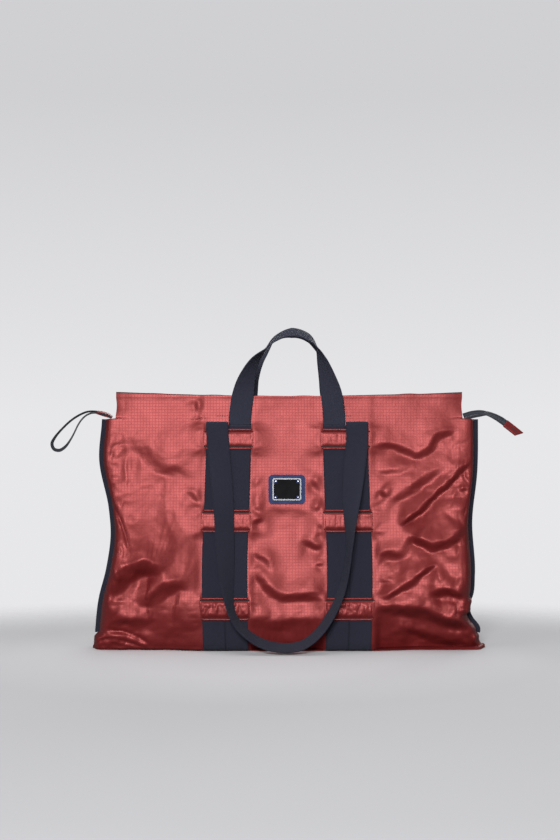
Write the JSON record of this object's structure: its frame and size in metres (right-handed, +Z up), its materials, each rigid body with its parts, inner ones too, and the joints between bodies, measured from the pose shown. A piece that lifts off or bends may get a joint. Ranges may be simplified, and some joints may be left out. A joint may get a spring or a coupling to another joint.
{
  "type": "foldable tote bag",
  "caption": "Wide thin nylon tote with webbing run through cloth bridges, a short handle and a long strap on each face, a recessed zip and a folding base.",
  "frame": {"origin": "centre of the base panel's underside, on the surface that the bag stands on", "axes": "+X to the right of the front face, along the bag's width; +Z up; the front face looks along -Y"},
  "size_m": [0.7048, 0.2012, 0.4799],
  "materials": {
    "cloth": "thin ripstop nylon with a satin sheen",
    "webbing": "ribbed navy webbing",
    "ribbon": "narrow navy ribbon",
    "zip_tape": "woven zip tape",
    "zip_coil": "moulded coil",
    "metal": "polished silver metal",
    "plate": "gloss black enamel",
    "patch": "navy felt backing"
  },
  "bodies": {
    "root": {"front_wing_left": "cloth", "front_wing_right": "cloth", "back_wing_left": "cloth", "back_wing_right": "cloth", "base_panel": "cloth", "base_gusset_left": "cloth", "base_gusset_right": "cloth", "base_web_outer_left": "webbing", "base_web_inner_left": "webbing", "base_web_outer_right": "webbing", "base_web_inner_right": "webbing", "side_binding_left": "webbing", "side_binding_right": "webbing", "zip_gusset_front": "cloth", "zip_tape_front": "zip_tape", "zip_coil_front": "zip_coil", "zip_gusset_back": "cloth", "zip_tape_back": "zip_tape", "zip_coil_back": "zip_coil", "zip_start_tab": "cloth", "ribbon_loop": "ribbon"},
    "front_face": {"front_panel": "cloth", "front_web_outer_left": "webbing", "front_web_inner_left": "webbing", "front_bridge_low_left": "cloth", "front_bridge_middle_left": "cloth", "front_bridge_top_left": "cloth", "front_web_outer_right": "webbing", "front_web_inner_right": "webbing", "front_bridge_low_right": "cloth", "front_bridge_middle_right": "cloth", "front_bridge_top_right": "cloth", "plaque_patch": "patch", "plaque_frame": "metal", "plaque_plate": "plate", "plaque_rivet_top_left": "metal", "plaque_rivet_top_right": "metal", "plaque_rivet_bottom_left": "metal", "plaque_rivet_bottom_right": "metal"},
    "back_face": {"back_panel": "cloth", "back_web_outer_left": "webbing", "back_web_inner_left": "webbing", "back_bridge_low_left": "cloth", "back_bridge_middle_left": "cloth", "back_bridge_top_left": "cloth", "back_web_outer_right": "webbing", "back_web_inner_right": "webbing", "back_bridge_low_right": "cloth", "back_bridge_middle_right": "cloth", "back_bridge_top_right": "cloth"},
    "front_handle": {"front_short_handle": "webbing"},
    "back_handle": {"back_short_handle": "webbing"},
    "front_strap": {"front_long_strap": "webbing"},
    "back_strap": {"back_long_strap": "webbing"},
    "slider": {"zip_slider": "metal", "zip_slider_ears": "metal", "zip_pull_pin": "metal"},
    "pull": {"zip_pull": "metal"},
    "tail": {"zip_tail_tape": "zip_tape", "zip_tail_tab": "cloth"}
  },
  "joints": [
    {"name": "front_fold", "type": "hinge", "parent": "root", "child": "front_face", "pos_m": [0, -0.04225, 0.6037], "axis": [1, 0, 0], "range_deg": [0, 4.3], "deforming": ["front_wing_left", "front_wing_right", "zip_gusset_front", "zip_tape_front", "zip_coil_front", "base_panel", "base_gusset_left", "base_gusset_right", "base_web_outer_left", "base_web_inner_left", "base_web_outer_right", "base_web_inner_right"]},
    {"name": "back_fold", "type": "hinge", "parent": "root", "child": "back_face", "pos_m": [0, 0.04225, 0.6037], "axis": [1, 0, 0], "range_deg": [-4.3, 0], "deforming": ["back_wing_left", "back_wing_right", "zip_gusset_back", "zip_tape_back", "zip_coil_back"]},
    {"name": "front_handle_swing", "type": "hinge", "parent": "front_face", "child": "front_handle", "pos_m": [0, -0.0333, 0.3316], "axis": [1, 0, 0], "range_deg": [0, 150]},
    {"name": "back_handle_swing", "type": "hinge", "parent": "back_face", "child": "back_handle", "pos_m": [0, 0.0333, 0.3316], "axis": [-1, 0, 0], "range_deg": [0, 150]},
    {"name": "front_strap_swing", "type": "hinge", "parent": "front_face", "child": "front_strap", "pos_m": [0, -0.0318, 0.3352], "axis": [-1, 0, 0], "range_deg": [0, 165]},
    {"name": "back_strap_swing", "type": "hinge", "parent": "back_face", "child": "back_strap", "pos_m": [0, 0.0318, 0.3352], "axis": [1, 0, 0], "range_deg": [0, 165]},
    {"name": "zip_slide", "type": "slide", "parent": "root", "child": "slider", "axis": [1, 0, 0], "range_m": [0, 0.45]},
    {"name": "zip_pull_swing", "type": "hinge", "parent": "slider", "child": "pull", "pos_m": [-0.225, 0, 0.3465], "axis": [0, -1, 0], "range_deg": [0, 170]},
    {"name": "zip_tail_swing", "type": "hinge", "parent": "root", "child": "tail", "pos_m": [0.2615, 0, 0.3465], "axis": [0, 1, 0], "range_deg": [-40, 0]}
  ],
  "couplings": [
    {"joint": "back_fold", "follows": "front_fold", "ratio": -1}
  ]
}
